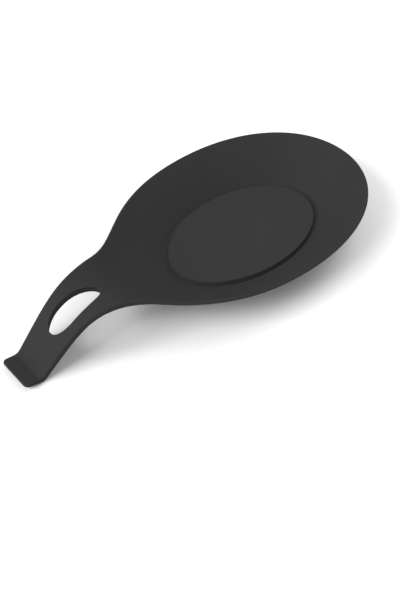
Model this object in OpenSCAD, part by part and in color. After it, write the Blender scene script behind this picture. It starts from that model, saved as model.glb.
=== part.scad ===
// Spoon rest moulded in one piece of soft silicone: an egg-shaped bowl with a raised oval
// plateau, an arched handle with a hanging slot, and a lip that turns up behind the fold.
// X runs along the rest towards the bowl's tip, Y across it and Z up from the table.
// The origin is on the table, under the middle of the length.
// "Distance" means the distance back from the bowl's tip, along the rest.

/* [Overall] */
// Length from the bowl's tip to the end of the lip
overall_l = 200; // [192:1:216]
// Width of the bowl at its widest place
bowl_w = 97.6; // [86:0.1:110]
// Height of the bowl's rim above the table
rim_h = 19.8; // [16:0.2:25]
// Height of the top of the handle's arch above the table
crest_h = 27; // [22:0.2:34]

/* [Bowl] */
// Distance from the tip to the widest place
belly_at = 68; // [60:0.5:74]
// Thickness of the bowl's floor
floor_t = 2.4; // [1.6:0.1:3.4]
// Thickness of the wall at the rim
rim_t = 1.2; // [1:0.1:2]
// Radius of the softened outer edges
edge_r = 0.5; // [0.2:0.05:0.5]

/* [Plateau] */
// Distance from the tip to the middle of the plateau
plateau_at = 68.8; // [66:0.2:72]
// Length of the plateau at its foot
plateau_l = 84; // [66:0.2:86]
// Width of the plateau at its foot
plateau_w = 55; // [44:1:62]
// Height of the plateau above the bowl's floor
plateau_h = 2; // [1:0.1:3.5]
// Radius of the plateau's upper edge
plateau_r = 0.9; // [0.3:0.1:1.2]
// Slope of the plateau's side, from upright
plateau_draft = 25; // [5:1:35]
// Flat groove between the plateau and the wall
groove_w = 1.2; // [0.6:0.1:3.2]

/* [Foot] */
// Height of the foot ring
foot_h = 1; // [0.6:0.1:2]
// Width of the foot ring's band
foot_w = 6; // [3:0.5:10]

/* [Handle] */
// Length of the handle, from its joint with the bowl to the fold
handle_l = 53.4; // [50:0.2:58]
// Thickness of the handle where it leaves the bowl
neck_t = 2.2; // [1.8:0.1:2.8]
// Thickness of the handle at its thickest place, on the leg
handle_t = 3.4; // [2.8:0.1:4]
// Thickness of the handle at the fold
fold_t = 2.4; // [1.8:0.1:2.8]
// Distance from the fold forward to the thickest place
thick_from_fold = 17; // [12:0.5:24]
// Distance from the fold forward to the waist of the neck
waist_from_fold = 44.4; // [40:0.1:47]
// Width at the waist
waist_w = 34; // [28:0.2:38]
// Width of the handle at the fold
handle_w = 19.2; // [16:0.2:24]
// Distance from the fold forward to the top of the arch
crest_from_fold = 35.8; // [31:0.1:39]
// Length over which the edges climb from the rim to the top of the arch
rise_run = 35.5; // [32:0.5:46]
// Slope of the leg that comes down to the fold
leg_angle = 46.4; // [38:0.2:52]
// Radius of the bend at the fold, on the upper face
fold_r = 3.5; // [2:0.1:5]
// Depth of the trough between the edges, where the handle begins
neck_trough = 5.3; // [2:0.1:6]

/* [Slot] */
// Length of the hanging slot
slot_l = 26.8; // [20:0.2:28]
// Width of the slot
slot_w = 11.8; // [9:0.2:13]
// Distance from the fold forward to the slot
slot_from_fold = 12.4; // [10:0.2:15]

/* [Lip] */
// Length of the turned-up lip, seen from above
lip_l = 7.9; // [6:0.2:11]
// Slope of the lip's upper face
lip_angle = 8; // [5:0.5:30]
// Thickness of the lip's free end
lip_end_t = 1.4; // [1:0.1:2]
// Radius of the lip's two corners
lip_corner_r = 2.4; // [1.5:0.1:5]

/* [Hidden] */
silicone = [0.21, 0.21, 0.215];

// Places along the rest, as distances from the tip
fold_at = overall_l - lip_l;
neck_at = fold_at - handle_l;
waist_at = fold_at - waist_from_fold;
crest_at = fold_at - crest_from_fold;
thick_at = fold_at - thick_from_fold;
rise_at = crest_at - rise_run;

// Heights
floor_z = foot_h;
floor_top = floor_z + floor_t;
fold_turn = (leg_angle + lip_angle) / 2;
fold_lean = (leg_angle - lip_angle) / 2;
fold_depth = fold_t / cos(fold_turn);
// Height at which the upper faces of the leg and the lip would meet without the bend
crease_z = fold_depth * cos(fold_lean);
bend_reach = fold_r * tan(fold_turn);
bend_start = [fold_at - bend_reach * cos(leg_angle), crease_z + bend_reach * sin(leg_angle)];
bend_end = [fold_at + bend_reach * cos(lip_angle), crease_z + bend_reach * sin(lip_angle)];

// How far the side curves pull along their tangents
tip_pull_share = 0.56;
shoulder_pull_share = 0.6;
belly_pull_share = 0.61;
waist_pull_share = 0.27;
waist_slope_share = 0.25;
grip_start_share = 0.01;
grip_end_share = 0.66;
grip_slope_share = 0.07;
// How far the height curves pull along their tangents
rise_start_share = 0.5;
rise_end_share = 0.35;
drop_start_share = 0.4;
drop_end_share = 0.4;
bend_pull_share = 0.63;
// Steepness of the bowl's wall at its foot and at its rim, against its mean slope
foot_slope_share = 1.05;
rim_slope_share = 0.92;
// Share of the slot's length that narrows towards the bowl, and how full each end is
slot_nose_share = 0.69;
slot_nose_power = 2;
slot_tail_power = 2.1;

// Steps of the smooth surfaces
nose_steps = 13;
flank_steps = 13;
neck_steps = 10;
wall_steps = 11;
station_steps = 24;
curve_steps = 40;
oval_steps = 72;
arc_steps = 5;
// Small step for slopes, and the overrun of every cut
probe = handle_l / 200;
cut = overall_l / 40;

function lerp(a, b, s) = a + (b - a) * s;
function ease(s) = let (c = min(1, max(0, s))) c * c * (3 - 2 * c);
function px(d) = overall_l / 2 - d;
function bezier(p, t) = pow(1 - t, 3) * p[0] + 3 * pow(1 - t, 2) * t * p[1]
    + 3 * (1 - t) * t * t * p[2] + pow(t, 3) * p[3];
function path(p) = [for (i = [0 : curve_steps]) bezier(p, i / curve_steps)];
function tail(list) = [for (i = [1 : len(list) - 1]) list[i]];
function back(list) = [for (i = [len(list) - 1 : -1 : 0]) list[i]];
// A quarter of a rounded outline, where a power of 2 is an ellipse
function round_point(along, across, power, turn) =
    [along * pow(cos(turn), 2 / power), across * pow(sin(turn), 2 / power)];

// Side of the rest behind the belly: distance against half width
flank_run = waist_at - belly_at;
grip_run = fold_at - waist_at;
flank_path = path([
    [belly_at, bowl_w / 2],
    [belly_at + belly_pull_share * flank_run, bowl_w / 2],
    [
        waist_at - waist_pull_share * flank_run,
        waist_w / 2 + waist_slope_share * waist_pull_share * flank_run
    ],
    [waist_at, waist_w / 2]
]);
grip_path = path([
    [waist_at, waist_w / 2],
    [
        waist_at + grip_start_share * grip_run,
        waist_w / 2 - waist_slope_share * grip_start_share * grip_run
    ],
    [
        fold_at - grip_end_share * grip_run,
        handle_w / 2 + grip_slope_share * grip_end_share * grip_run
    ],
    [fold_at, handle_w / 2]
]);
side_table = concat(flank_path, tail(grip_path));
function half_w(d) = lookup(d, side_table);

// Height of the outer edges: level round the bowl, up over the arch and down the leg
drop_run = bend_start.x - crest_at;
crease = [fold_at, crease_z];
rise_path = path([
    [rise_at, rim_h],
    [rise_at + rise_start_share * rise_run, rim_h],
    [crest_at - rise_end_share * rise_run, crest_h],
    [crest_at, crest_h]
]);
drop_path = path([
    [crest_at, crest_h],
    [crest_at + drop_start_share * drop_run, crest_h],
    bend_start + drop_end_share * drop_run * [-1, tan(leg_angle)],
    bend_start
]);
bend_path = path([
    bend_start,
    lerp(bend_start, crease, bend_pull_share),
    lerp(bend_end, crease, bend_pull_share),
    bend_end
]);
edge_table = concat(rise_path, tail(drop_path), tail(bend_path));
function edge_z(d) = lookup(d, edge_table);
fold_top = edge_z(fold_at);
// Depth of the trough, which runs out at the fold
function trough(d) = neck_trough * pow((fold_at - d) / handle_l, 2);
function centre_z(d) = edge_z(d) - trough(d);
function edge_slope(d) = (edge_z(d + probe) - edge_z(d - probe)) / (2 * probe);
function centre_slope(d) = (centre_z(d + probe) - centre_z(d - probe)) / (2 * probe);

// Thickness of the handle's wall, which thins from its thickest place to both ends
function wall_t(d) = let (ahead = d < thick_at, end = ahead ? neck_at : fold_at)
    lerp(handle_t, ahead ? neck_t : fold_t, pow((d - thick_at) / (end - thick_at), 2));

// A cross-section of the handle: d is its distance, down is the step from its upper face
// to its lower face, in X and Z, and t runs from -1 to 1 across it
function top_point(d, t) =
    [px(d), (half_w(d) - edge_r) * t, lerp(centre_z(d), edge_z(d), t * t)];
function side_point(d, t) = [px(d), half_w(d) * t, edge_z(d)];
function lowered(p, down, share) = [p.x + down.x * share, p.y, p.z + down.y * share];
function row_share(k) = 2 * k / neck_steps - 1;
function section(d, down) = let (soft = edge_r / norm(down)) concat(
    [for (k = [neck_steps : -1 : 0]) top_point(d, row_share(k))],
    [for (s = [soft, 1 - soft]) lowered(side_point(d, -1), down, s)],
    [for (k = [0 : neck_steps]) lowered(top_point(d, row_share(k)), down, 1)],
    [for (s = [1 - soft, soft]) lowered(side_point(d, 1), down, s)]
);

// The wall is cut upright at the joint, square to its face along the arch, and on the
// bisector at the fold
neck_down = [0, -neck_t * sqrt(1 + pow(centre_slope(neck_at), 2))];
fold_down = [fold_depth * sin(fold_lean), -fold_top];
function arch_down(d) = let (s = centre_slope(d)) -wall_t(d) * [s, 1] / sqrt(1 + s * s);
function station_down(i) = i == 0 ? neck_down
    : i == station_steps ? fold_down
    : arch_down(station_d(i));
function station_d(i) = lerp(neck_at, fold_at, i / station_steps);

// Bowl outline, from the tip to the joint with the handle: distance and half width
nose_curve = [
    [0, 0],
    [0, tip_pull_share * bowl_w / 2],
    [(1 - shoulder_pull_share) * belly_at, bowl_w / 2],
    [belly_at, bowl_w / 2]
];
nose_side = [for (i = [0 : nose_steps]) bezier(nose_curve, i / nose_steps)];
flank_side = [
    for (i = [1 : flank_steps - 1])
        let (d = lerp(belly_at, neck_at, i / flank_steps)) [d, half_w(d)]
];
rim_side = concat(nose_side, flank_side);
// The outline as a loop: distance, place across, and the side it lies on, or 0 at the joint
rim_loop = concat(
    [for (p = rim_side) [p.x, p.y, 1]],
    [for (k = [neck_steps : -1 : 0]) [neck_at, row_share(k), 0]],
    [for (p = back(tail(rim_side))) [p.x, -p.y, -1]]
);
rays = len(rim_loop);
function at_joint(i) = rim_loop[i].z == 0;
function across(i) = at_joint(i) ? rim_loop[i].y : rim_loop[i].z;
function outer_plan(i) = let (p = rim_loop[i]) at_joint(i)
    ? [p.x, half_w(neck_at) * p.y]
    : [p.x, p.y];
function wrapped(i) = (i + rays) % rays;
// The upper edge lies in from the outline by the radius of the soft edge
function inner_plan(i) = let (
    p = outer_plan(i),
    run = outer_plan(wrapped(i + 1)) - outer_plan(wrapped(i - 1)),
    inward = [-run.y, run.x] / norm(run)
) at_joint(i) ? [neck_at, (half_w(neck_at) - edge_r) * rim_loop[i].y] : p - edge_r * inward;

// The wall climbs along rays from the edge of the floor to the rim
floor_a = plateau_l / 2 + groove_w;
floor_b = plateau_w / 2 + groove_w;
middle = [plateau_at, 0];
function floor_plan(i) = let (v = inner_plan(i) - middle)
    middle + v / norm([v.x / floor_a, v.y / floor_b]);
function ray_run(i) = norm(inner_plan(i) - floor_plan(i));
function ray_top(i) = at_joint(i)
    ? lerp(centre_z(neck_at), edge_z(neck_at), pow(across(i), 2))
    : edge_z(rim_loop[i].x);
function mean_slope(i) = (ray_top(i) - floor_top) / ray_run(i);
// How fast each side comes in at the joint
neck_narrowing = (half_w(neck_at - probe) - half_w(neck_at + probe)) / (2 * probe);
// Slope of the handle's upper face along a ray, at the joint
function joint_slope(i) = let (
    way = (inner_plan(i) - floor_plan(i)) / ray_run(i),
    t = abs(across(i)),
    along = lerp(centre_slope(neck_at), edge_slope(neck_at), t * t),
    aside = 2 * neck_trough * t / half_w(neck_at)
) along * way.x + aside * (abs(way.y) + t * neck_narrowing * way.x);
function rim_share(i) = ease((rim_loop[i].x - belly_at) / (neck_at - belly_at));
function end_slope(i) = lerp(rim_slope_share * mean_slope(i), joint_slope(i), rim_share(i));
function end_t(i) = lerp(rim_t, neck_t, rim_share(i));
function wall_plan(i, r) = lerp(floor_plan(i), inner_plan(i), r);
function wall_z(i, r) = let (run = ray_run(i)) floor_top
    + (ray_top(i) - floor_top) * (3 - 2 * r) * r * r
    + run * foot_slope_share * mean_slope(i) * (r - 1) * (r - 1) * r
    + run * end_slope(i) * (r - 1) * r * r;
function wall_slope(i, r) = 6 * mean_slope(i) * (1 - r) * r
    + foot_slope_share * mean_slope(i) * (3 * r * r - 4 * r + 1)
    + end_slope(i) * (3 * r * r - 2 * r);
// Depth of the wall, measured straight down
function wall_down(i, r) = at_joint(i) && r == 1 ? -neck_down.y
    : lerp(floor_t, end_t(i), r) * (r == 0 ? 1 : sqrt(1 + pow(wall_slope(i, r), 2)));
function placed(plan, z) = [px(plan.x), plan.y, z];
function upper_ring(r) = [for (i = [0 : rays - 1]) placed(wall_plan(i, r), wall_z(i, r))];
function lower_ring(r) =
    [for (i = [0 : rays - 1]) placed(wall_plan(i, r), wall_z(i, r) - wall_down(i, r))];
// The two loops of the soft rim: r is 0 for the upper one and 1 for the lower one
function edge_lift(i, r) = r == 0 ? -edge_r
    : edge_r * (1 + (at_joint(i) ? 0 : end_slope(i) * (1 - rim_share(i)))) - wall_down(i, 1);
function edge_plan(i) = at_joint(i) && abs(across(i)) < 1 ? inner_plan(i) : outer_plan(i);
function edge_ring(r) =
    [for (i = [0 : rays - 1]) placed(edge_plan(i), ray_top(i) + edge_lift(i, r))];

// A closed skin over a row of loops with as many points each. Each end is closed by rungs
// that run from the last two points of its loop to the two points opposite them.
module skin(loops) {
    count = len(loops[0]);
    last = len(loops) - 1;
    points = [for (loop = loops) each loop];
    sides = [
        for (j = [0 : last - 1], i = [0 : count - 1])
            let (a = j * count, b = a + count, n = (i + 1) % count)
                each [[a + i, a + n, b + n], [a + i, b + n, b + i]]
    ];
    rungs = [
        for (j = [0 : count / 2 - 2])
            let (a = (j + count - 1) % count, b = j, c = count - 3 - j, d = c + 1)
                each [[a, d, c], [a, c, b]]
    ];
    far_rungs = [for (f = rungs) [for (k = back(f)) last * count + k]];
    polyhedron(points, concat(sides, rungs, far_rungs), convexity = 6);
}

// Bowl: flat floor, wall, soft rim and the start of the neck
module bowl() {
    wall_shares = [for (j = [0 : wall_steps]) j / wall_steps];
    color(silicone) skin(concat(
        [for (r = wall_shares) upper_ring(r)],
        [edge_ring(0), edge_ring(1)],
        [for (r = back(wall_shares)) lower_ring(r)]
    ));
}

// Outline of the plateau, drawn in by an inset
function oval_outline(inset) = [
    for (i = [0 : oval_steps - 1])
        let (turn = 360 * i / oval_steps)
            [(plateau_l / 2 - inset) * cos(turn), (plateau_w / 2 - inset) * sin(turn)]
];

// Plateau in the middle of the bowl's floor, with a drafted side and a rounded upper edge
module plateau() {
    side_h = plateau_h - plateau_r * (1 - sin(plateau_draft));
    side_in = side_h * tan(plateau_draft);
    arc = [
        for (i = [0 : arc_steps])
            let (turn = lerp(plateau_draft, 90, i / arc_steps)) [
                side_in + plateau_r * (cos(plateau_draft) - cos(turn)),
                plateau_h - plateau_r * (1 - sin(turn))
            ]
    ];
    color(silicone) translate([px(plateau_at), 0, floor_top])
        skin([
            for (p = concat(back(arc), [[0, 0]]))
                [for (q = oval_outline(p.x)) [q.x, q.y, p.y]]
        ]);
}

// Oval ring under the floor, on which the bowl stands
module foot_ring() {
    color(silicone) translate([px(plateau_at), 0, 0]) linear_extrude(foot_h) difference() {
        polygon(oval_outline(0));
        polygon(oval_outline(foot_w));
    }
}

// Arched handle with its hanging slot
module handle() {
    color(silicone) difference() {
        skin([for (i = [0 : station_steps]) section(station_d(i), station_down(i))]);
        slot_hole();
    }
}

// Upright cut for the slot, narrower towards the bowl
module slot_hole() {
    nose = slot_l * slot_nose_share;
    rear = slot_l - nose;
    turns = [for (i = [0 : 2 * arc_steps - 1]) 90 * i / (2 * arc_steps)];
    nose_arc = [for (a = turns) round_point(nose, slot_w / 2, slot_nose_power, a)];
    rear_arc = [
        for (a = turns)
            let (q = round_point(rear, slot_w / 2, slot_tail_power, 90 - a)) [-q.x, q.y]
    ];
    half = concat(nose_arc, rear_arc, [[-rear, 0]]);
    other = [for (i = [len(half) - 2 : -1 : 1]) [half[i].x, -half[i].y]];
    translate([px(fold_at - slot_from_fold - rear), 0, -cut])
        linear_extrude(crest_h + 2 * cut) polygon(concat(half, other));
}

// Lip that turns up behind the fold and thins to its free end
module end_lip() {
    end_x = px(overall_l);
    end_z = crease_z + lip_l * tan(lip_angle);
    top = [px(fold_at), fold_top];
    bend = [for (p = bend_path) if (p.x > fold_at) [px(p.x), p.y]];
    color(silicone) intersection() {
        translate([0, handle_w / 2, 0]) rotate([90, 0, 0]) linear_extrude(handle_w)
            polygon(concat(
                [[end_x, end_z], [end_x, end_z - lip_end_t], top + fold_down, top],
                bend
            ));
        linear_extrude(end_z + cut) lip_plan();
    }
}

// The lip from above, with its two corners rounded
module lip_plan() {
    r = min(lip_corner_r, lip_l, handle_w / 2);
    half = handle_w / 2;
    turns = [for (i = [0 : arc_steps]) 90 * i / arc_steps];
    end_x = px(overall_l);
    front = px(fold_at) + fold_down.x + cut;
    left = [for (a = turns) [end_x + r * (1 - sin(a)), half - r * (1 - cos(a))]];
    right = [for (p = back(left)) [p.x, -p.y]];
    polygon(concat([[front, half]], left, right, [[front, -half]]));
}

bowl();
plateau();
foot_ring();
handle();
end_lip();
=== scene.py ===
"""Spoon rest moulded in one piece of charcoal silicone, dressed for a studio picture.

The rest is one moulding. It is modelled as five regions that meet face to face: the bowl, the
plateau in its floor, the foot ring under it, the arched handle and the end lip. All lengths
are in metres. X runs along the rest towards the bowl's tip, Y across it and Z up from the
table. A "distance" is measured back from the bowl's tip, along the rest.
"""

import logging
import math
from dataclasses import dataclass
from enum import Enum
from functools import cached_property

import bmesh
import bpy
from mathutils import Matrix, Vector


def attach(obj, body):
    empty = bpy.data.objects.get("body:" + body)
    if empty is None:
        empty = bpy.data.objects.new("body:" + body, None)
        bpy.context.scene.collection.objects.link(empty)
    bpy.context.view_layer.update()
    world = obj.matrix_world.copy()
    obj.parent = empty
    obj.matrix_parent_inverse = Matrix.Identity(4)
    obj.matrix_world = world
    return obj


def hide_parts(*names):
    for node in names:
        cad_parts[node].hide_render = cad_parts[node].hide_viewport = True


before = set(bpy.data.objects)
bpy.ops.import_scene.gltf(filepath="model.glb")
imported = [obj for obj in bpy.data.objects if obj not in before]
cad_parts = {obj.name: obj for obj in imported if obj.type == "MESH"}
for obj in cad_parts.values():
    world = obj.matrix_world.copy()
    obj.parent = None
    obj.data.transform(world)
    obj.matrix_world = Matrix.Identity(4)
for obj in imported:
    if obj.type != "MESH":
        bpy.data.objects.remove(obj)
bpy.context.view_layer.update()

MM = 0.001
BODY = "root"
logging.basicConfig(level=logging.INFO, format="%(message)s")
LOG = logging.getLogger("spoon_rest")
# Points that lie closer than this are one point
WELD = MM / 1000
# Times that a curve is halved to find a place on it
HALVINGS = 32


def lerp(low: float, high: float, share: float) -> float:
    """Returns the value at a share of the way from low to high."""
    return low + (high - low) * share


def ease(share: float) -> float:
    """Returns a share that starts and stops gently, held between 0 and 1."""
    held = min(1.0, max(0.0, share))
    return held * held * (3 - 2 * held)


def hermite(start: float, end: float, leave: float, arrive: float, share: float) -> float:
    """Joins two values with a given rise at each end.

    Args:
        start: Value at share 0.
        end: Value at share 1.
        leave: Rise that the slope at the start would give over the run.
        arrive: Rise that the slope at the end would give over the run.
        share: Place along the run.

    Returns:
        The value at that place.
    """
    rest = 1 - share
    rise = (end - start) * share * share * (3 - 2 * share)
    return start + rise + leave * share * rest * rest - arrive * share * share * rest


@dataclass(frozen=True)
class Bezier:
    """Cubic curve of a width or a height against the distance."""

    first: tuple[float, float]
    leave: tuple[float, float]
    arrive: tuple[float, float]
    last: tuple[float, float]

    def part(self, axis: int, share: float) -> float:
        """Finds one part of a point of the curve.

        Args:
            axis: 0 for the distance and 1 for the value.
            share: Share of the curve.

        Returns:
            That part of the point.
        """
        rest = 1 - share
        near = rest**3 * self.first[axis] + 3 * rest * rest * share * self.leave[axis]
        far = 3 * rest * share * share * self.arrive[axis] + share**3 * self.last[axis]
        return near + far

    def value(self, distance: float) -> float:
        """Finds the curve's value at a distance, by halving.

        Args:
            distance: Distance within the curve.

        Returns:
            The value there.
        """
        low, high = 0.0, 1.0
        for _ in range(HALVINGS):
            middle = (low + high) / 2
            if self.part(0, middle) < distance:
                low = middle
            else:
                high = middle
        return self.part(1, (low + high) / 2)


@dataclass(frozen=True)
class RestForm:
    """Sizes of the moulding and the curves that follow from them.

    The sizes are those of the construction model, so that each piece fits its solid.
    """

    overall_l: float = 200 * MM
    bowl_w: float = 97.6 * MM
    rim_h: float = 19.8 * MM
    crest_h: float = 27 * MM
    belly_at: float = 68 * MM
    floor_t: float = 2.4 * MM
    rim_t: float = 1.2 * MM
    foot_h: float = 1 * MM
    plateau_at: float = 68.8 * MM
    plateau_l: float = 84 * MM
    plateau_w: float = 55 * MM
    groove_w: float = 1.2 * MM
    handle_l: float = 53.4 * MM
    neck_t: float = 2.2 * MM
    handle_t: float = 3.4 * MM
    fold_t: float = 2.4 * MM
    thick_from_fold: float = 17 * MM
    waist_from_fold: float = 44.4 * MM
    waist_w: float = 34 * MM
    handle_w: float = 19.2 * MM
    crest_from_fold: float = 35.8 * MM
    rise_run: float = 35.5 * MM
    leg_angle: float = math.radians(46.4)
    fold_r: float = 3.5 * MM
    neck_trough: float = 5.3 * MM
    slot_l: float = 26.8 * MM
    slot_w: float = 11.8 * MM
    slot_from_fold: float = 12.4 * MM
    lip_l: float = 7.9 * MM
    lip_angle: float = math.radians(8)
    lip_end_t: float = 1.4 * MM
    lip_corner_r: float = 2.4 * MM
    rim_round: float = 0.55 * MM
    handle_round: float = 0.9 * MM
    lip_round: float = 0.6 * MM
    slot_round: float = 0.35 * MM
    slot_low_round: float = 0.15 * MM
    # Run before the fold over which the section starts to lean
    lean_run: float = 8 * MM
    # Step over which slopes are measured
    probe: float = 0.2 * MM
    # Shares that place the inner points of the curves, and slopes where curves meet
    tip_pull: float = 0.56
    shoulder_pull: float = 0.6
    belly_pull: float = 0.61
    waist_pull: float = 0.27
    waist_slope: float = 0.25
    grip_start: float = 0.01
    grip_end: float = 0.66
    grip_slope: float = 0.07
    rise_start: float = 0.5
    rise_end: float = 0.35
    drop_start: float = 0.4
    drop_end: float = 0.4
    bend_pull: float = 0.63
    # Slopes of the wall at its foot and at the rim, as shares of its mean slope
    foot_slope: float = 1.05
    rim_slope: float = 0.92
    # Share of the slot's length ahead of its widest place, and powers of its two half ovals
    slot_nose: float = 0.69
    slot_nose_power: float = 2.0
    slot_tail_power: float = 2.1
    # Steps of each quarter round, across the joints and round the plateau's oval
    round_steps: int = 6
    neck_steps: int = 32
    fold_steps: int = 16
    oval_steps: int = 160

    @cached_property
    def fold_at(self) -> float:
        """Distance of the fold between the handle and the lip."""
        return self.overall_l - self.lip_l

    @cached_property
    def neck_at(self) -> float:
        """Distance of the joint between the bowl and the handle."""
        return self.fold_at - self.handle_l

    @cached_property
    def waist_at(self) -> float:
        """Distance of the narrowest place of the neck."""
        return self.fold_at - self.waist_from_fold

    @cached_property
    def crest_at(self) -> float:
        """Distance of the top of the arch."""
        return self.fold_at - self.crest_from_fold

    @cached_property
    def floor_top(self) -> float:
        """Height of the upper face of the bowl's floor."""
        return self.foot_h + self.floor_t

    @cached_property
    def fold_turn(self) -> float:
        """Half the angle through which the wall turns at the fold."""
        return (self.leg_angle + self.lip_angle) / 2

    @cached_property
    def fold_depth(self) -> float:
        """Thickness along the bisector of the fold, without the bend."""
        return self.fold_t / math.cos(self.fold_turn)

    @cached_property
    def crease(self) -> tuple[float, float]:
        """Distance and height where the upper faces would meet without the bend."""
        return self.fold_at, self.fold_depth * math.cos(self.leg_angle - self.fold_turn)

    @cached_property
    def fold_foot(self) -> float:
        """Distance of the line on which the fold rests on the table."""
        return self.fold_at - self.fold_depth * math.sin(self.leg_angle - self.fold_turn)

    @cached_property
    def foot_fall(self) -> float:
        """Slope of the lower face just before the line on which the fold rests."""
        start, height = self.bend.first
        return (height - self.thickness(start) / math.cos(self.leg_angle)) / (self.fold_foot - start)

    @cached_property
    def nose(self) -> Bezier:
        """Outline of the bowl from the tip to the belly.

        Returns:
            Half width against distance.
        """
        half = self.bowl_w / 2
        return Bezier(
            (0.0, 0.0),
            (0.0, self.tip_pull * half),
            ((1 - self.shoulder_pull) * self.belly_at, half),
            (self.belly_at, half),
        )

    @cached_property
    def flank(self) -> Bezier:
        """Half width from the belly to the waist.

        Returns:
            Half width against distance.
        """
        run = self.waist_at - self.belly_at
        wide, slim = self.bowl_w / 2, self.waist_w / 2
        pull = self.waist_pull * run
        return Bezier(
            (self.belly_at, wide),
            (self.belly_at + self.belly_pull * run, wide),
            (self.waist_at - pull, slim + self.waist_slope * pull),
            (self.waist_at, slim),
        )

    @cached_property
    def grip(self) -> Bezier:
        """Half width from the waist to the fold.

        Returns:
            Half width against distance.
        """
        run = self.fold_at - self.waist_at
        wide, slim = self.waist_w / 2, self.handle_w / 2
        start, end = self.grip_start * run, self.grip_end * run
        return Bezier(
            (self.waist_at, wide),
            (self.waist_at + start, wide - self.waist_slope * start),
            (self.fold_at - end, slim + self.grip_slope * end),
            (self.fold_at, slim),
        )

    @cached_property
    def rise(self) -> Bezier:
        """Height of the edge from the rim up to the top of the arch.

        Returns:
            Height against distance.
        """
        start = self.crest_at - self.rise_run
        return Bezier(
            (start, self.rim_h),
            (start + self.rise_start * self.rise_run, self.rim_h),
            (self.crest_at - self.rise_end * self.rise_run, self.crest_h),
            (self.crest_at, self.crest_h),
        )

    @cached_property
    def bend(self) -> Bezier:
        """Height of the upper face round the inside of the fold.

        Returns:
            Height against distance.
        """
        at, height = self.crease
        reach = self.fold_r * math.tan(self.fold_turn)
        near = (at - reach * math.cos(self.leg_angle), height + reach * math.sin(self.leg_angle))
        far = (at + reach * math.cos(self.lip_angle), height + reach * math.sin(self.lip_angle))
        pull = self.bend_pull
        return Bezier(
            near,
            (lerp(near[0], at, pull), lerp(near[1], height, pull)),
            (lerp(far[0], at, pull), lerp(far[1], height, pull)),
            far,
        )

    @cached_property
    def drop(self) -> Bezier:
        """Height of the edge from the top of the arch down to the bend.

        Returns:
            Height against distance.
        """
        last = self.bend.first
        run = last[0] - self.crest_at
        end = self.drop_end * run
        return Bezier(
            (self.crest_at, self.crest_h),
            (self.crest_at + self.drop_start * run, self.crest_h),
            (last[0] - end, last[1] + end * math.tan(self.leg_angle)),
            last,
        )

    def place(self, distance: float, across: float, height: float) -> Vector:
        """Returns the point in the frame for a distance, a place across and a height."""
        return Vector((self.overall_l / 2 - distance, across, height))

    def plan(self, point: Vector) -> Vector:
        """Returns the distance and the place across of a point in the frame."""
        return Vector((self.overall_l / 2 - point.x, point.y))

    def on_oval(self, unit: Vector, inset: float, height: float) -> Vector:
        """Puts a point of a circle with a radius of 1 on the plateau's oval.

        Args:
            unit: Point of the circle.
            inset: How far inside the oval the point lies.
            height: Height above the table.

        Returns:
            The point in the frame.
        """
        return self.place(
            self.plateau_at - unit.x * (self.plateau_l / 2 - inset),
            unit.y * (self.plateau_w / 2 - inset),
            height,
        )

    def half_width(self, distance: float) -> float:
        """Returns half the width behind the belly."""
        curve = self.flank if distance < self.waist_at else self.grip
        return curve.value(distance)

    def edge_height(self, distance: float) -> float:
        """Finds the height of the outer edge, or of the lip's upper face.

        Args:
            distance: Place along the rest.

        Returns:
            The height above the table.
        """
        if distance <= self.rise.first[0]:
            return self.rim_h
        if distance >= self.bend.last[0]:
            return self.crease[1] + (distance - self.fold_at) * math.tan(self.lip_angle)
        curves = (self.rise, self.drop, self.bend)
        return next(curve for curve in curves if distance <= curve.last[0]).value(distance)

    def edge_slope(self, distance: float) -> float:
        """Returns how steeply the outer edge climbs with the distance."""
        rise = self.edge_height(distance + self.probe) - self.edge_height(distance - self.probe)
        return rise / (2 * self.probe)

    def edge_radius(self, distance: float) -> float:
        """Finds the radius of the soft edge: small at the rim, larger on the handle.

        Args:
            distance: Place along the rest.

        Returns:
            The radius.
        """
        if distance > self.fold_at:
            share = ease((distance - self.fold_at) / self.lip_l)
            return lerp(self.handle_round, self.lip_round, share)
        share = ease((distance - self.belly_at) / (self.neck_at - self.belly_at))
        return lerp(self.rim_round, self.handle_round, share)

    def trough(self, distance: float) -> float:
        """Returns how far the middle of the handle lies below its edges."""
        return self.neck_trough * ((self.fold_at - distance) / self.handle_l) ** 2

    def tilt(self, distance: float) -> float:
        """Returns the angle at which the handle's upper face meets its edge."""
        inner = self.half_width(distance) - self.edge_radius(distance)
        return math.atan(2 * self.trough(distance) / inner)

    def face_half(self, distance: float) -> float:
        """Returns half the width of the handle's upper face, inside its round edges."""
        inset = self.edge_radius(distance) * (1 + math.sin(self.tilt(distance)))
        return self.half_width(distance) - inset

    def top(self, distance: float, across: float) -> float:
        """Finds the height of the handle's upper face.

        Args:
            distance: Place along the handle.
            across: Place across it, from the middle.

        Returns:
            The height above the table.
        """
        share = across / self.face_half(distance)
        drop = self.edge_radius(distance) * (1 - math.cos(self.tilt(distance)))
        return self.edge_height(distance) - drop - self.trough(distance) * (1 - share * share)

    def thickness(self, distance: float) -> float:
        """Finds the handle's thickness, which is greatest on the leg.

        Args:
            distance: Place along the handle.

        Returns:
            The thickness, square to the wall.
        """
        thick_at = self.fold_at - self.thick_from_fold
        end, thin = (
            (self.neck_at, self.neck_t) if distance < thick_at else (self.fold_at, self.fold_t)
        )
        return lerp(self.handle_t, thin, ((distance - thick_at) / (end - thick_at)) ** 2)

    def depth(self, distance: float) -> float:
        """Finds the handle's thickness measured straight down.

        Args:
            distance: Place along the handle. Under the bend the lower face is straight.

        Returns:
            The thickness.
        """
        if distance > self.bend.first[0]:
            return self.edge_height(distance) - (self.fold_foot - distance) * self.foot_fall
        rise = self.top(distance + self.probe, 0) - self.top(distance - self.probe, 0)
        return self.thickness(distance) * math.hypot(1, rise / (2 * self.probe))

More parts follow.
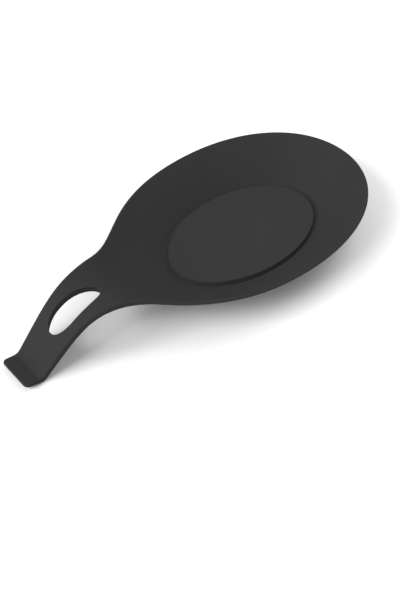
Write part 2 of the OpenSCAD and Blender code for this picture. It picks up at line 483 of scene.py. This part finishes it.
    def top_slopes(self, distance: float, across: float) -> Vector:
        """Finds the slopes of the handle's upper face.

        Args:
            distance: Place along the handle.
            across: Place across it, from the middle.

        Returns:
            The slopes along the distance and across.
        """
        step = self.probe
        along = self.top(distance + step, across) - self.top(distance - step, across)
        aside = self.top(distance, across + step) - self.top(distance, across - step)
        return Vector((along, aside)) / (2 * step)

    def straight_row(self, high: Vector, low: Vector) -> list[Vector]:
        """Returns as many points from high to low as a round edge has."""
        count = 2 * self.round_steps + 1
        return [high.lerp(low, k / count) for k in range(count + 1)]

    def neck_row(self, share: float) -> list[Vector]:
        """Builds an upright row at the joint with the bowl.

        Args:
            share: Share of half the width, from -1 to 1.

        Returns:
            Points from the upper face to the lower face.
        """
        across = share * self.face_half(self.neck_at)
        high = self.top(self.neck_at, across)
        low = high - self.depth(self.neck_at)
        return self.straight_row(
            self.place(self.neck_at, across, high), self.place(self.neck_at, across, low)
        )

    def fold_row(self, share: float) -> list[Vector]:
        """Builds a leaning row at the fold.

        Args:
            share: Share of half the width, from -1 to 1.

        Returns:
            Points from the upper face to the lower face.
        """
        across = share * self.face_half(self.fold_at)
        high = self.place(self.fold_at, across, self.edge_height(self.fold_at))
        return self.straight_row(high, self.place(self.fold_foot, across, 0.0))

    def side_row(self, distance: float, side: int) -> list[Vector]:
        """Rounds the handle's outer edge at a distance.

        Args:
            distance: Place along the handle.
            side: 1 on the +Y side and -1 on the other.

        Returns:
            Points from the upper face to the lower face.
        """
        full_lean = (self.fold_at - self.fold_foot) / self.edge_height(self.fold_at)
        lean = full_lean * ease((distance - self.fold_at) / self.lean_run + 1)
        fall = self.foot_fall if lean else 0.0
        return Edge(
            Vector((distance, side * self.half_width(distance))),
            Vector((0, -side)),
            self.edge_height(distance),
            self.depth(distance) / (1 + lean * fall),
            self.tilt(distance),
            self.edge_radius(distance),
            lean,
        ).points(self)


@dataclass(frozen=True)
class Edge:
    """Soft outer edge of the wall: two quarter rounds with an upright side between them.

    The outline's place is given as a distance and a place across, and inward points from it
    into the wall. The upper face climbs to the edge at the tilt. The section leans forward by
    the lean for each length down.
    """

    outer: Vector
    inward: Vector
    height: float
    depth: float
    tilt: float
    radius: float
    lean: float = 0.0

    def points(self, form: RestForm) -> list[Vector]:
        """Rounds the edge.

        Args:
            form: Sizes of the moulding.

        Returns:
            Points from the upper face, over the side, to the lower face.
        """
        steps = form.round_steps
        upper = self.height - self.radius
        lower = upper - self.depth + 2 * self.radius / math.cos(self.tilt)
        turns = [(upper, lerp(-self.tilt, math.pi / 2, k / steps)) for k in range(steps + 1)]
        turns += [(lower, lerp(math.pi / 2, math.pi - self.tilt, k / steps)) for k in range(steps + 1)]
        points = []
        for centre, turn in turns:
            plan = self.outer + self.inward * self.radius * (1 - math.sin(turn))
            level = centre + self.radius * math.cos(turn)
            points.append(form.place(plan.x - self.lean * (self.height - level), plan.y, level))
        return points


def skin(rays: list[list[Vector]], ring: bool) -> bmesh.types.BMesh:
    """Wraps a grid over rays and closes it.

    Args:
        rays: For each ray, its points from the first loop to the last.
        ring: Whether the last loop joins the first. Otherwise both close to a point.

    Returns:
        The closed surface.
    """
    columns, rows = len(rays), len(rays[0]) - (0 if ring else 1)
    mesh = bmesh.new()
    bmesh.ops.create_grid(mesh, x_segments=columns, y_segments=rows, size=1)
    for vert in mesh.verts:
        column = round((vert.co.x + 1) / 2 * columns) % columns
        row = round((vert.co.y + 1) / 2 * rows)
        vert.co = rays[column][row % len(rays[0])]
    bmesh.ops.remove_doubles(mesh, verts=mesh.verts[:], dist=WELD)
    bmesh.ops.recalc_face_normals(mesh, faces=mesh.faces[:])
    return mesh


def steps_across(steps: int) -> list[float]:
    """Returns even shares from -1 to 1, without these two."""
    return [-1 + 2 * k / steps for k in range(1, steps)]


def shares(steps: int) -> list[float]:
    """Returns shares from 0 up to, but not including, 1 that lie closer towards 1."""
    return [math.sin(math.pi / 2 * k / steps) for k in range(steps)]


@dataclass
class Bowl:
    """Bowl: a flat floor, a wall that climbs along rays, a round rim and the start of the neck."""

    form: RestForm
    nose_steps: int = 56
    flank_steps: int = 56
    wall_steps: int = 36
    floor_shares: tuple[float, ...] = (0.0, 0.5, 0.975)

    def outline(self) -> list[Vector]:
        """Draws the outline on one side, from the tip to just before the joint.

        Returns:
            Distance and place across, for each place.
        """
        form = self.form
        curve = form.nose
        turns = [k / self.nose_steps for k in range(self.nose_steps + 1)]
        nose = [Vector((curve.part(0, t), curve.part(1, t))) for t in turns]
        run = form.neck_at - form.belly_at
        places = [form.belly_at + run * k / self.flank_steps for k in range(1, self.flank_steps)]
        return nose + [Vector((d, form.half_width(d))) for d in places]

    def foot_of(self, plan: Vector) -> Vector:
        """Finds where the wall starts on a ray.

        Args:
            plan: Distance and place across of the ray's end.

        Returns:
            Distance and place across of its start.
        """
        form = self.form
        middle = Vector((form.plateau_at, 0))
        way = plan - middle
        long = form.plateau_l / 2 + form.groove_w
        wide = form.plateau_w / 2 + form.groove_w
        return middle + way / math.hypot(way.x / long, way.y / wide)

    def wall(self, end: Vector, slopes: Vector, base: float) -> list[Vector]:
        """Climbs from the floor to the rim along one ray.

        Args:
            end: End of the ray, a point in the frame.
            slopes: Slopes of the surface at the end, along the distance and across.
            base: Height of the floor.

        Returns:
            Points from the wall's foot to the end.
        """
        form = self.form
        goal = form.plan(end)
        foot = self.foot_of(goal)
        rise = end.z - base
        arrive = slopes.dot(goal - foot)
        points = []
        for k in range(self.wall_steps + 1):
            share = k / self.wall_steps
            plan = foot.lerp(goal, share)
            level = hermite(base, end.z, form.foot_slope * rise, arrive, share)
            points.append(form.place(plan.x, plan.y, level))
        return points

    def ray(self, edge: list[Vector], slopes: Vector) -> list[Vector]:
        """Joins one ray: floor, wall, edge, lower wall and lower floor.

        Args:
            edge: Points of the edge, from the upper face to the lower face.
            slopes: Slopes of the surface at the edge.

        Returns:
            Points of the ray, from the middle of the floor to the middle of the underside.
        """
        form = self.form
        upper = self.wall(edge[0], slopes, form.floor_top)
        lower = self.wall(edge[-1], slopes, form.foot_h)
        high, low = (form.place(form.plateau_at, 0, z) for z in (form.floor_top, form.foot_h))
        return (
            [high.lerp(upper[0], share) for share in self.floor_shares]
            + upper[:-1]
            + edge
            + lower[-2::-1]
            + [low.lerp(lower[0], share) for share in reversed(self.floor_shares)]
        )

    def rim_ray(self, before: Vector, plan: Vector, after: Vector) -> list[Vector]:
        """Builds the ray that ends at a place of the rim.

        Args:
            before: The outline's place before it, as seen from the tip along the +Y side.
            plan: Distance and place across of the outline.
            after: The outline's place after it.

        Returns:
            Points of the ray.
        """
        form = self.form
        side = 1 if after.x > before.x else -1
        along = (after - before).normalized()
        square = Vector((along.y, -along.x))
        blend = ease((plan.x - form.belly_at) / (form.neck_at - form.belly_at))
        height = form.edge_height(plan.x)
        mean = (height - form.floor_top) / (plan - self.foot_of(plan)).length
        climb = form.edge_slope(plan.x) * along.x
        rim_slopes = along * climb - square * form.rim_slope * mean
        joint_slopes = form.top_slopes(form.neck_at, side * form.face_half(form.neck_at))
        slopes = rim_slopes.lerp(joint_slopes, blend)
        inward = square.lerp(Vector((0, -side)), blend).normalized()
        steep = max(0.0, -slopes.dot(inward))
        depth = lerp(form.rim_t * math.hypot(1, steep), form.depth(form.neck_at), blend)
        edge = Edge(plan, inward, height, depth, math.atan(steep), form.edge_radius(plan.x))
        return self.ray(edge.points(form), slopes)

    def joint_ray(self, share: float) -> list[Vector]:
        """Builds a ray that ends at the joint with the handle.

        Args:
            share: Share of half the joint's width, from -1 to 1.

        Returns:
            Points of the ray.
        """
        form = self.form
        slopes = form.top_slopes(form.neck_at, share * form.face_half(form.neck_at))
        corner = abs(share) == 1
        row = form.side_row(form.neck_at, round(share)) if corner else form.neck_row(share)
        return self.ray(row, slopes)

    def build(self) -> bmesh.types.BMesh:
        """Joins the rays all round the bowl.

        Returns:
            The bowl's closed surface.
        """
        form = self.form
        left = self.outline()
        corner = Vector((form.neck_at, form.half_width(form.neck_at)))
        flip = Vector((1, -1))
        right = [place * flip for place in left[:0:-1]]
        first = [right[-1]] + left + [corner]
        second = [corner * flip] + right + [left[0]]
        rays = [self.rim_ray(*three) for three in zip(first, first[1:], first[2:])]
        rays += [self.joint_ray(s) for s in (1, *steps_across(form.neck_steps)[::-1], -1)]
        rays += [self.rim_ray(*three) for three in zip(second, second[1:], second[2:])]
        return skin(rays, ring=False)


@dataclass
class Handle:
    """Arched handle: a wall round the hanging slot, with a trough between its edges."""

    form: RestForm
    side_steps: int = 60
    face_steps: int = 24
    slot_steps: int = 4

    def slot_point(self, plan: Vector, grow: float) -> Vector:
        """Finds the slot's edge on the way to a place in plan.

        Args:
            plan: Distance and place across of the handle's outline.
            grow: How far outside the slot's wall the point lies.

        Returns:
            Distance and place across.
        """
        form = self.form
        nose = form.slot_l * form.slot_nose
        rear = form.slot_l - nose
        centre = form.fold_at - form.slot_from_fold - rear
        ahead = plan.x < centre
        long = nose if ahead else rear
        power = 2 / (form.slot_nose_power if ahead else form.slot_tail_power)
        turn = math.atan2(abs(plan.y) / (form.slot_w / 2), abs(plan.x - centre) / long)
        reach = (long + grow) * max(0.0, math.cos(turn)) ** power
        aside = (form.slot_w / 2 + grow) * math.sin(turn) ** power
        return Vector((centre + (-reach if ahead else reach), math.copysign(aside, plan.y)))

    def level(self, plan: Vector, lower: bool) -> float:
        """Returns the height of the upper or the lower face at a place in plan."""
        form = self.form
        return form.top(plan.x, plan.y) - (form.depth(plan.x) if lower else 0)

    def face(self, outer: Vector, lower: bool) -> list[Vector]:
        """Crosses the upper or the lower face from the slot's wall to the outer edge.

        Args:
            outer: Point of the outer edge where the face ends.
            lower: Whether the row lies on the lower face.

        Returns:
            Points from the slot's wall to the outer edge, without the last one.
        """
        form = self.form
        radius = form.slot_low_round if lower else form.slot_round
        goal = form.plan(outer)
        wall, start = self.slot_point(goal, 0), self.slot_point(goal, radius)
        row = []
        for k in range(self.slot_steps):
            turn = math.pi / 2 * k / self.slot_steps
            plan = wall.lerp(start, 1 - math.cos(turn))
            sink = radius * (1 - math.sin(turn))
            row.append(form.place(plan.x, plan.y, self.level(plan, lower) + (sink if lower else -sink)))
        for share in shares(self.face_steps):
            plan = start.lerp(goal, share)
            row.append(form.place(plan.x, plan.y, self.level(plan, lower)))
        return row

    def ray(self, edge: list[Vector]) -> list[Vector]:
        """Returns the points round the section, from the slot's wall over the edge and back."""
        return self.face(edge[0], lower=False) + edge + self.face(edge[-1], lower=True)[::-1]

    def build(self) -> bmesh.types.BMesh:
        """Joins the sections all round the slot.

        Returns:
            The handle's closed surface.
        """
        form = self.form
        sides = [form.neck_at + form.handle_l * s for s in shares(self.side_steps)] + [form.fold_at]
        edges = (
            [form.neck_row(s) for s in steps_across(form.neck_steps)[::-1]]
            + [form.side_row(d, -1) for d in sides]
            + [form.fold_row(s) for s in steps_across(form.fold_steps)]
            + [form.side_row(d, 1) for d in reversed(sides)]
        )
        return skin([self.ray(edge) for edge in edges], ring=True)


@dataclass
class EndLip:
    """Lip behind the fold: it thins to a free end with two round corners and soft edges."""

    form: RestForm
    side_steps: int = 12
    corner_steps: int = 12
    end_steps: int = 12
    face_steps: int = 16
    middle_share: float = 0.6

    def low(self, distance: float) -> float:
        """Finds the height of the lip's lower face.

        Args:
            distance: Place along the lip.

        Returns:
            The height above the table.
        """
        form = self.form
        end = form.edge_height(form.overall_l) - form.lip_end_t
        return end * (distance - form.fold_foot) / (form.overall_l - form.fold_foot)

    def row(self, plan: Vector, inward: Vector) -> list[Vector]:
        """Rounds the lip's edge at a place of its outline.

        Args:
            plan: Distance and place across of the outline.
            inward: Unit direction from the outline into the lip.

        Returns:
            Points from the upper face to the lower face.
        """
        form = self.form
        height = form.edge_height(plan.x)
        return Edge(
            plan, inward, height, height - self.low(plan.x), 0.0, form.edge_radius(plan.x)
        ).points(form)

    def outline(self) -> list[tuple[Vector, Vector]]:
        """Draws the outline behind the fold.

        Returns:
            Places in plan, each with its inward direction.
        """
        form = self.form
        half, radius = form.handle_w / 2, form.lip_corner_r
        corner = Vector((form.overall_l - radius, half - radius))
        run = corner.x - form.fold_at
        side = [
            (Vector((form.fold_at + run * k / self.side_steps, half)), Vector((0, -1)))
            for k in range(1, self.side_steps)
        ]
        turns = [math.pi / 2 * k / self.corner_steps for k in range(self.corner_steps + 1)]
        ways = [Vector((math.sin(a), math.cos(a))) for a in turns]
        left = side + [(corner + way * radius, -way) for way in ways]
        end = [
            (Vector((form.overall_l, corner.y * (1 - 2 * k / self.end_steps))), Vector((-1, 0)))
            for k in range(1, self.end_steps)
        ]
        flip = Vector((1, -1))
        return left + end + [(plan * flip, inward * flip) for plan, inward in reversed(left)]

    def ray(self, edge: list[Vector]) -> list[Vector]:
        """Joins one ray over the lip's faces.

        Args:
            edge: Points of the edge, from the upper face to the lower face.

        Returns:
            Points of the ray, from the middle of the upper face to that of the lower face.
        """
        form = self.form
        middle = Vector((form.fold_at + form.lip_l * self.middle_share, 0))
        upper, lower = [], []
        for share in shares(self.face_steps):
            high = middle.lerp(form.plan(edge[0]), share)
            low = middle.lerp(form.plan(edge[-1]), share)
            upper.append(form.place(high.x, high.y, form.edge_height(high.x)))
            lower.append(form.place(low.x, low.y, self.low(low.x)))
        return upper + edge + lower[::-1]

    def build(self) -> bmesh.types.BMesh:
        """Joins the rays all round the lip.

        Returns:
            The lip's closed surface.
        """
        form = self.form
        edges = [form.side_row(form.fold_at, -1)]
        edges += [form.fold_row(s) for s in steps_across(form.fold_steps)]
        edges += [form.side_row(form.fold_at, 1)]
        edges += [self.row(plan, inward) for plan, inward in self.outline()]
        return skin([self.ray(edge) for edge in edges], ring=False)


@dataclass
class Plateau:
    """Raised oval in the bowl's floor, with a drafted side and a round upper edge."""

    form: RestForm
    height: float = 2 * MM
    draft: float = math.radians(25)
    upper_round: float = 0.9 * MM
    round_steps: int = 5

    def build(self) -> bmesh.types.BMesh:
        """Raises an oval and rounds its upper edge.

        Returns:
            The plateau's closed surface.
        """
        form = self.form
        mesh = bmesh.new()
        made = bmesh.ops.create_circle(mesh, cap_ends=True, segments=form.oval_steps, radius=1)
        floor = made["verts"][0].link_faces[0]
        grown = bmesh.ops.extrude_face_region(mesh, geom=[floor], use_keep_orig=True)
        roof = [v for v in grown["geom"] if isinstance(v, bmesh.types.BMVert)]
        inset = self.height * math.tan(self.draft)
        for vert in mesh.verts:
            raised = vert in roof
            level = form.floor_top + (self.height if raised else 0.0)
            vert.co = form.on_oval(vert.co, inset if raised else 0.0, level)
        rim = [e for e in mesh.edges if all(v in roof for v in e.verts)]
        reach = self.upper_round * math.tan((math.pi / 2 - self.draft) / 2)
        bmesh.ops.bevel(
            mesh, geom=rim, offset=reach, segments=self.round_steps,
            affect="EDGES", profile=0.5, material=-1,
        )
        bmesh.ops.recalc_face_normals(mesh, faces=mesh.faces[:])
        return mesh


@dataclass
class FootRing:
    """Oval band under the floor, on which the bowl stands."""

    form: RestForm
    band_w: float = 6 * MM
    soft: float = 0.3 * MM
    soft_steps: int = 3
    # A face whose normal rises less than this is a side
    side_limit: float = 0.5

    def build(self) -> bmesh.types.BMesh:
        """Raises a flat oval band and softens its lower edges.

        Returns:
            The ring's closed surface.
        """
        form = self.form
        mesh = bmesh.new()
        outer = bmesh.ops.create_circle(mesh, segments=form.oval_steps, radius=1)["verts"]
        inner = bmesh.ops.create_circle(mesh, segments=form.oval_steps, radius=1)["verts"]
        for verts, inset in ((outer, 0.0), (inner, self.band_w)):
            for vert in verts:
                vert.co = form.on_oval(vert.co, inset, 0.0)
        bmesh.ops.bridge_loops(mesh, edges=mesh.edges[:])
        grown = bmesh.ops.extrude_face_region(mesh, geom=mesh.faces[:], use_keep_orig=True)
        raised = [v for v in grown["geom"] if isinstance(v, bmesh.types.BMVert)]
        bmesh.ops.translate(mesh, verts=raised, vec=(0, 0, form.foot_h))
        low = [
            e for e in mesh.edges
            if all(v.co.z < form.foot_h / 2 for v in e.verts)
            and any(abs(f.normal.z) < self.side_limit for f in e.link_faces)
        ]
        bmesh.ops.recalc_face_normals(mesh, faces=mesh.faces[:])
        bmesh.ops.bevel(
            mesh, geom=low, offset=self.soft, segments=self.soft_steps,
            affect="EDGES", profile=0.5, material=-1,
        )
        return mesh


def linear(code: str) -> tuple[float, float, float, float]:
    """Turns an sRGB hex colour into a linear one.

    Args:
        code: The colour as a hash sign and six hex digits.

    Returns:
        Red, green, blue and an alpha of 1.
    """
    parts = [int(code[k:k + 2], 16) / 255 for k in (1, 3, 5)]
    red, green, blue = (c / 12.92 if c <= 0.04045 else ((c + 0.055) / 1.055) ** 2.4 for c in parts)
    return red, green, blue, 1.0


def add_object(name: str, data: bpy.types.ID) -> bpy.types.Object:
    """Puts a new object into the scene.

    Args:
        name: The object's name.
        data: Its mesh, lamp or camera.

    Returns:
        The new object.
    """
    made = bpy.data.objects.new(name, data)
    bpy.context.scene.collection.objects.link(made)
    return made


def add_node(tree: bpy.types.NodeTree, kind: str, settings: dict[str, object] | None = None,
             inputs: dict[str, object] | None = None) -> bpy.types.Node:
    """Adds a node with its settings, and its inputs as values or as sockets to link.

    Args:
        tree: The node tree.
        kind: The node's type.
        settings: Attributes of the node.
        inputs: Input names, each with a value or with another node's output socket.

    Returns:
        The new node.
    """
    node = tree.nodes.new(kind)
    for name, value in (settings or {}).items():
        setattr(node, name, value)
    for name, value in (inputs or {}).items():
        socket = node.inputs[name]
        if isinstance(value, bpy.types.NodeSocket):
            tree.links.new(value, socket)
        else:
            socket.default_value = value
    return node


@dataclass(frozen=True)
class Finish:
    """Finish of a surface. Each kind gives the inputs of its shader."""

    name: str

    def inputs(self, tree: bpy.types.NodeTree) -> dict[str, object]:
        """Returns the shader's inputs, and adds the nodes that feed them."""
        raise NotImplementedError

    def build(self) -> bpy.types.Material:
        """Builds the material's nodes.

        Returns:
            The material.
        """
        material = bpy.data.materials.new(self.name)
        material.use_nodes = True
        tree = material.node_tree
        tree.nodes.clear()
        shader = add_node(tree, "ShaderNodeBsdfPrincipled", inputs=self.inputs(tree))
        add_node(tree, "ShaderNodeOutputMaterial", inputs={"Surface": shader.outputs["BSDF"]})
        return material


@dataclass(frozen=True)
class MouldedSilicone(Finish):
    """Matte silicone rubber, pressed in a bead-blasted mould.

    It looks soft and dry: a dark body colour with nearly no shine, and a fine even grain. The
    pigment clouds a little, and handling leaves faint duller patches.
    """

    name: str = "matte_silicone_rubber"
    dark: str = "#2e2e2f"
    light: str = "#323233"
    ior: float = 1.41
    shine: float = 0.08
    rough_low: float = 0.66
    rough_high: float = 0.74
    cloud_mm: float = 26.0
    cloud_detail: float = 3.0
    cloud_rough: float = 0.55
    # Parts of the clouds' range at which the finish is glossiest and dullest
    cloud_low: float = 0.3
    cloud_high: float = 0.7
    # The mould's grain is about 0.05 mm, too fine to show, so it is drawn ten times as coarse
    grain_mm: float = 0.5
    grain_detail: float = 2.0
    grain_rough: float = 0.6
    grain_depth_mm: float = 0.012

    def inputs(self, tree: bpy.types.NodeTree) -> dict[str, object]:
        """Adds the clouds of the pigment, the duller patches and the mould's grain.

        Args:
            tree: The node tree.

        Returns:
            The shader's inputs.
        """
        place = add_node(tree, "ShaderNodeTexCoord").outputs["Object"]
        clouds = add_node(tree, "ShaderNodeTexNoise", inputs={
            "Vector": place, "Scale": 1 / (self.cloud_mm * MM),
            "Detail": self.cloud_detail, "Roughness": self.cloud_rough,
        }).outputs["Fac"]
        grain = add_node(tree, "ShaderNodeTexNoise", inputs={
            "Vector": place, "Scale": 1 / (self.grain_mm * MM),
            "Detail": self.grain_detail, "Roughness": self.grain_rough,
        }).outputs["Fac"]
        colour = add_node(tree, "ShaderNodeMix", {"data_type": "RGBA"}, {
            "Factor": clouds, "A": linear(self.dark), "B": linear(self.light),
        })
        dull = add_node(tree, "ShaderNodeMapRange", inputs={
            "Value": clouds, "From Min": self.cloud_low, "From Max": self.cloud_high,
            "To Min": self.rough_low, "To Max": self.rough_high,
        }).outputs["Result"]
        bump = add_node(tree, "ShaderNodeBump", inputs={
            "Strength": 1.0, "Distance": self.grain_depth_mm * MM, "Height": grain,
        }).outputs["Normal"]
        return {
            "Base Color": colour.outputs["Result"], "Roughness": dull, "Normal": bump,
            "IOR": self.ior, "Specular IOR Level": self.shine,
        }


@dataclass(frozen=True)
class PaperSweep(Finish):
    """Plain white paper on the studio table, flat and without shine."""

    name: str = "white_paper"
    colour: str = "#f4f4f4"
    roughness: float = 0.9
    shine: float = 0.2

    def inputs(self, tree: bpy.types.NodeTree) -> dict[str, object]:
        """Returns the shader's inputs. Plain paper needs no other nodes."""
        return {
            "Base Color": linear(self.colour), "Roughness": self.roughness,
            "Specular IOR Level": self.shine,
        }


class Region(Enum):
    """Regions of the moulding. Each value is the node of the frame that the piece stands for."""

    BOWL = "bowl"
    PLATEAU = "plateau"
    FOOT_RING = "foot_ring"
    HANDLE = "handle"
    END_LIP = "end_lip"


@dataclass
class Moulding:
    """The whole rest: its regions, made as one smooth surface and dressed in silicone."""

    form: RestForm
    finish: Finish
    crease: float = math.radians(38)
    key_digits: int = 5
    # Moves the sizes, which are round numbers, off the limits of the rounding
    key_shift: float = MM / 270

    def key(self, point: Vector) -> tuple[float, ...]:
        """Returns a key that meeting vertices of two regions share."""
        return tuple(round(value + self.key_shift, self.key_digits) for value in point)

    def corner_normals(self, meshes: list[bmesh.types.BMesh]) -> list[list[Vector]]:
        """Works out each face corner's normal from all the regions that meet there.

        Args:
            meshes: The regions' surfaces.

        Returns:
            For each surface, the normal of each face corner in order.
        """
        around: dict[tuple[float, ...], list[tuple[Vector, float]]] = {}
        for mesh in meshes:
            for face in mesh.faces:
                entry = (face.normal.copy(), face.calc_area())
                for vert in face.verts:
                    around.setdefault(self.key(vert.co), []).append(entry)
        limit = math.cos(self.crease)
        results = []
        for mesh in meshes:
            corners = []
            for face in mesh.faces:
                for loop in face.loops:
                    total = Vector()
                    for normal, area in around[self.key(loop.vert.co)]:
                        if normal.dot(face.normal) > limit:
                            total += normal * area
                    corners.append(total.normalized())
            results.append(corners)
        return results

    def build(self) -> list[bpy.types.Object]:
        """Builds and dresses each region.

        Returns:
            The finished pieces, riding on the frame.
        """
        makers = {
            Region.BOWL: Bowl(self.form),
            Region.PLATEAU: Plateau(self.form),
            Region.FOOT_RING: FootRing(self.form),
            Region.HANDLE: Handle(self.form),
            Region.END_LIP: EndLip(self.form),
        }
        meshes = [maker.build() for maker in makers.values()]
        for mesh in meshes:
            mesh.normal_update()
        normals = self.corner_normals(meshes)
        material = self.finish.build()
        pieces = []
        for region, mesh, corners in zip(makers, meshes, normals):
            for face in mesh.faces:
                face.smooth = True
            name = f"silicone_{region.value}"
            data = bpy.data.meshes.new(name)
            mesh.to_mesh(data)
            mesh.free()
            data.normals_split_custom_set(corners)
            data.materials.append(material)
            piece = add_object(name, data)
            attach(piece, BODY)
            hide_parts(region.value)
            pieces.append(piece)
        return pieces


@dataclass(frozen=True)
class SoftBox:
    """Square soft box that hangs over the rest and points at it."""

    name: str
    power: float
    # Angle from upright, and direction from +X towards +Y
    tilt: float
    turn: float
    # Side of the square, and distance from the middle of the rest
    size: float
    reach: float

    def build(self) -> None:
        """Hangs the lamp over the rest and points it there."""
        data = bpy.data.lights.new(self.name, "AREA")
        data.shape = "SQUARE"
        data.size = self.size
        data.energy = self.power
        lamp = add_object(self.name, data)
        aside = self.reach * math.sin(self.tilt)
        height = self.reach * math.cos(self.tilt)
        place = Vector((aside * math.cos(self.turn), aside * math.sin(self.turn), height))
        lamp.location = place
        lamp.rotation_euler = (-place).to_track_quat("-Z", "Y").to_euler()


@dataclass
class Studio:
    """Plain floor, soft light and the camera."""

    picture_w: int = 401
    picture_h: int = 601
    # Width of the sensor, in millimetres
    sensor: float = 36.0
    # The camera looks at this point, and sees it at this pixel of the picture
    target: tuple[float, float, float] = (35 * MM, 0.0, 18.1 * MM)
    target_pixel: tuple[float, float] = (248.81, 208.99)
    heading: float = math.radians(43.56)
    elevation: float = math.radians(43.39)
    roll: float = math.radians(2.24)
    reach: float = 517.1 * MM
    pixels_per_mm: float = 2.0777
    nearest: float = 10 * MM
    floor_size: float = 6.0
    boxes: tuple[SoftBox, ...] = (
        SoftBox(
            "soft_box_handle_end", power=22.0, tilt=math.radians(52), turn=math.radians(170),
            size=0.9, reach=1.5,
        ),
        SoftBox(
            "soft_box_bowl_end", power=1.6, tilt=math.radians(50), turn=0.0, size=0.36, reach=0.6
        ),
    )
    sky: float = 0.57

    def floor(self) -> None:
        """Lays the plain floor."""
        mesh = bmesh.new()
        bmesh.ops.create_grid(mesh, x_segments=2, y_segments=2, size=self.floor_size / 2)
        data = bpy.data.meshes.new("floor")
        mesh.to_mesh(data)
        mesh.free()
        data.materials.append(PaperSweep().build())
        add_object("floor", data)

    def camera(self) -> None:
        """Places the camera so that the target lies at its pixel."""
        sin_h, cos_h = math.sin(self.heading), math.cos(self.heading)
        sin_e, cos_e = math.sin(self.elevation), math.cos(self.elevation)
        right = Vector((cos_h, -sin_h, 0))
        up = Vector((sin_h * sin_e, cos_h * sin_e, cos_e))
        ahead = Vector((sin_h * cos_e, cos_h * cos_e, -sin_e))
        turned = right * math.cos(self.roll) + up * math.sin(self.roll)
        upright = up * math.cos(self.roll) - right * math.sin(self.roll)
        data = bpy.data.cameras.new("camera")
        data.sensor_width = self.sensor
        focal_pixels = self.pixels_per_mm * self.reach / MM
        data.lens = focal_pixels * self.sensor / self.picture_h
        data.shift_x = (self.picture_w / 2 - self.target_pixel[0]) / self.picture_h
        data.shift_y = (self.target_pixel[1] - self.picture_h / 2) / self.picture_h
        data.clip_start = self.nearest
        camera = add_object("camera", data)
        axes = Matrix((turned, upright, -ahead)).transposed().to_4x4()
        camera.matrix_world = Matrix.Translation(Vector(self.target) - ahead * self.reach) @ axes
        bpy.context.scene.camera = camera

    def lights(self) -> None:
        """Hangs the soft boxes and fills the room with even light."""
        for box in self.boxes:
            box.build()
        world = bpy.data.worlds.new("even_room")
        world.use_nodes = True
        shade = world.node_tree.nodes["Background"]
        shade.inputs["Color"].default_value = (1, 1, 1, 1)
        shade.inputs["Strength"].default_value = self.sky
        bpy.context.scene.world = world

    def build(self) -> None:
        """Sets up the floor, the camera and the lights."""
        self.floor()
        self.camera()
        self.lights()
        bpy.context.scene.view_settings.view_transform = "Standard"


def main() -> None:
    """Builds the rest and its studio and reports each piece."""
    for piece in Moulding(RestForm(), MouldedSilicone()).build():
        LOG.info("%s: %d faces", piece.name, len(piece.data.polygons))
    Studio().build()


if __name__ == "__main__":
    main()
